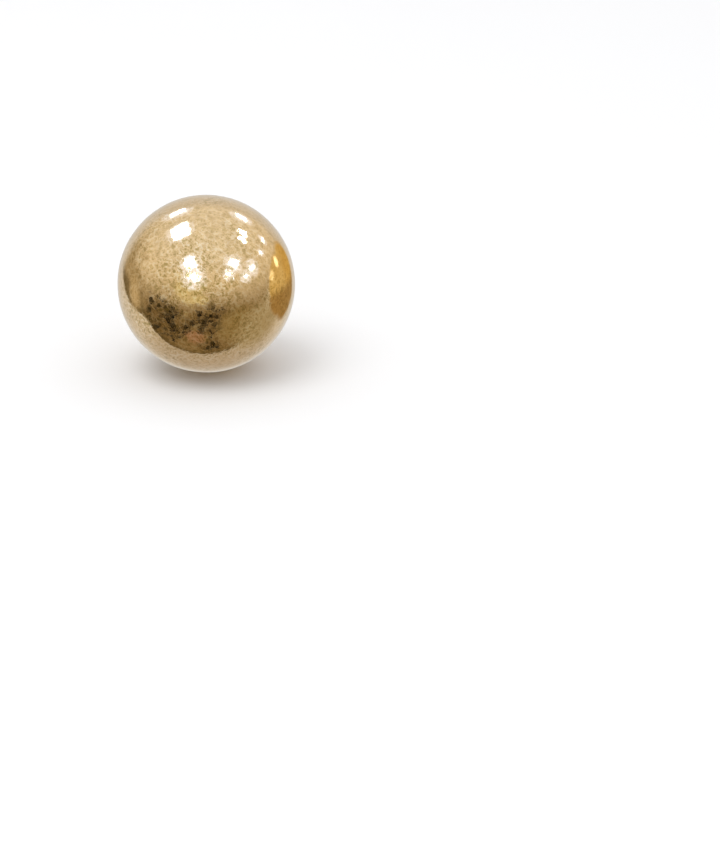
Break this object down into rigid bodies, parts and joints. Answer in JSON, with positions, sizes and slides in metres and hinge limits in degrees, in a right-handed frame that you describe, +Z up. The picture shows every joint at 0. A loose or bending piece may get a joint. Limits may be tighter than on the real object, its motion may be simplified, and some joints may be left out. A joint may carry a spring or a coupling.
{
  "type": "ball stud earring",
  "caption": "Hollow worn-gold ball on a straight ear post with a saucer cup and a friction notch, lying as an unworn stud rests, on ball and post tip.",
  "frame": {"origin": "on the surface that the earring lies on, under the middle of its bounding box", "axes": "+Z up; the ball's face looks towards -Y and slightly up; the post runs back towards +Y and down until its tip touches the surface; X is across"},
  "size_m": [0.012, 0.0224, 0.012],
  "materials": {
    "worn_gold": "semi-gloss gold plating, finely mottled and worn",
    "post_gold": "smooth polished gold plating with fine turning marks"
  },
  "bodies": {
    "root": {"ball": "worn_gold", "post": "post_gold"}
  },
  "joints": []
}
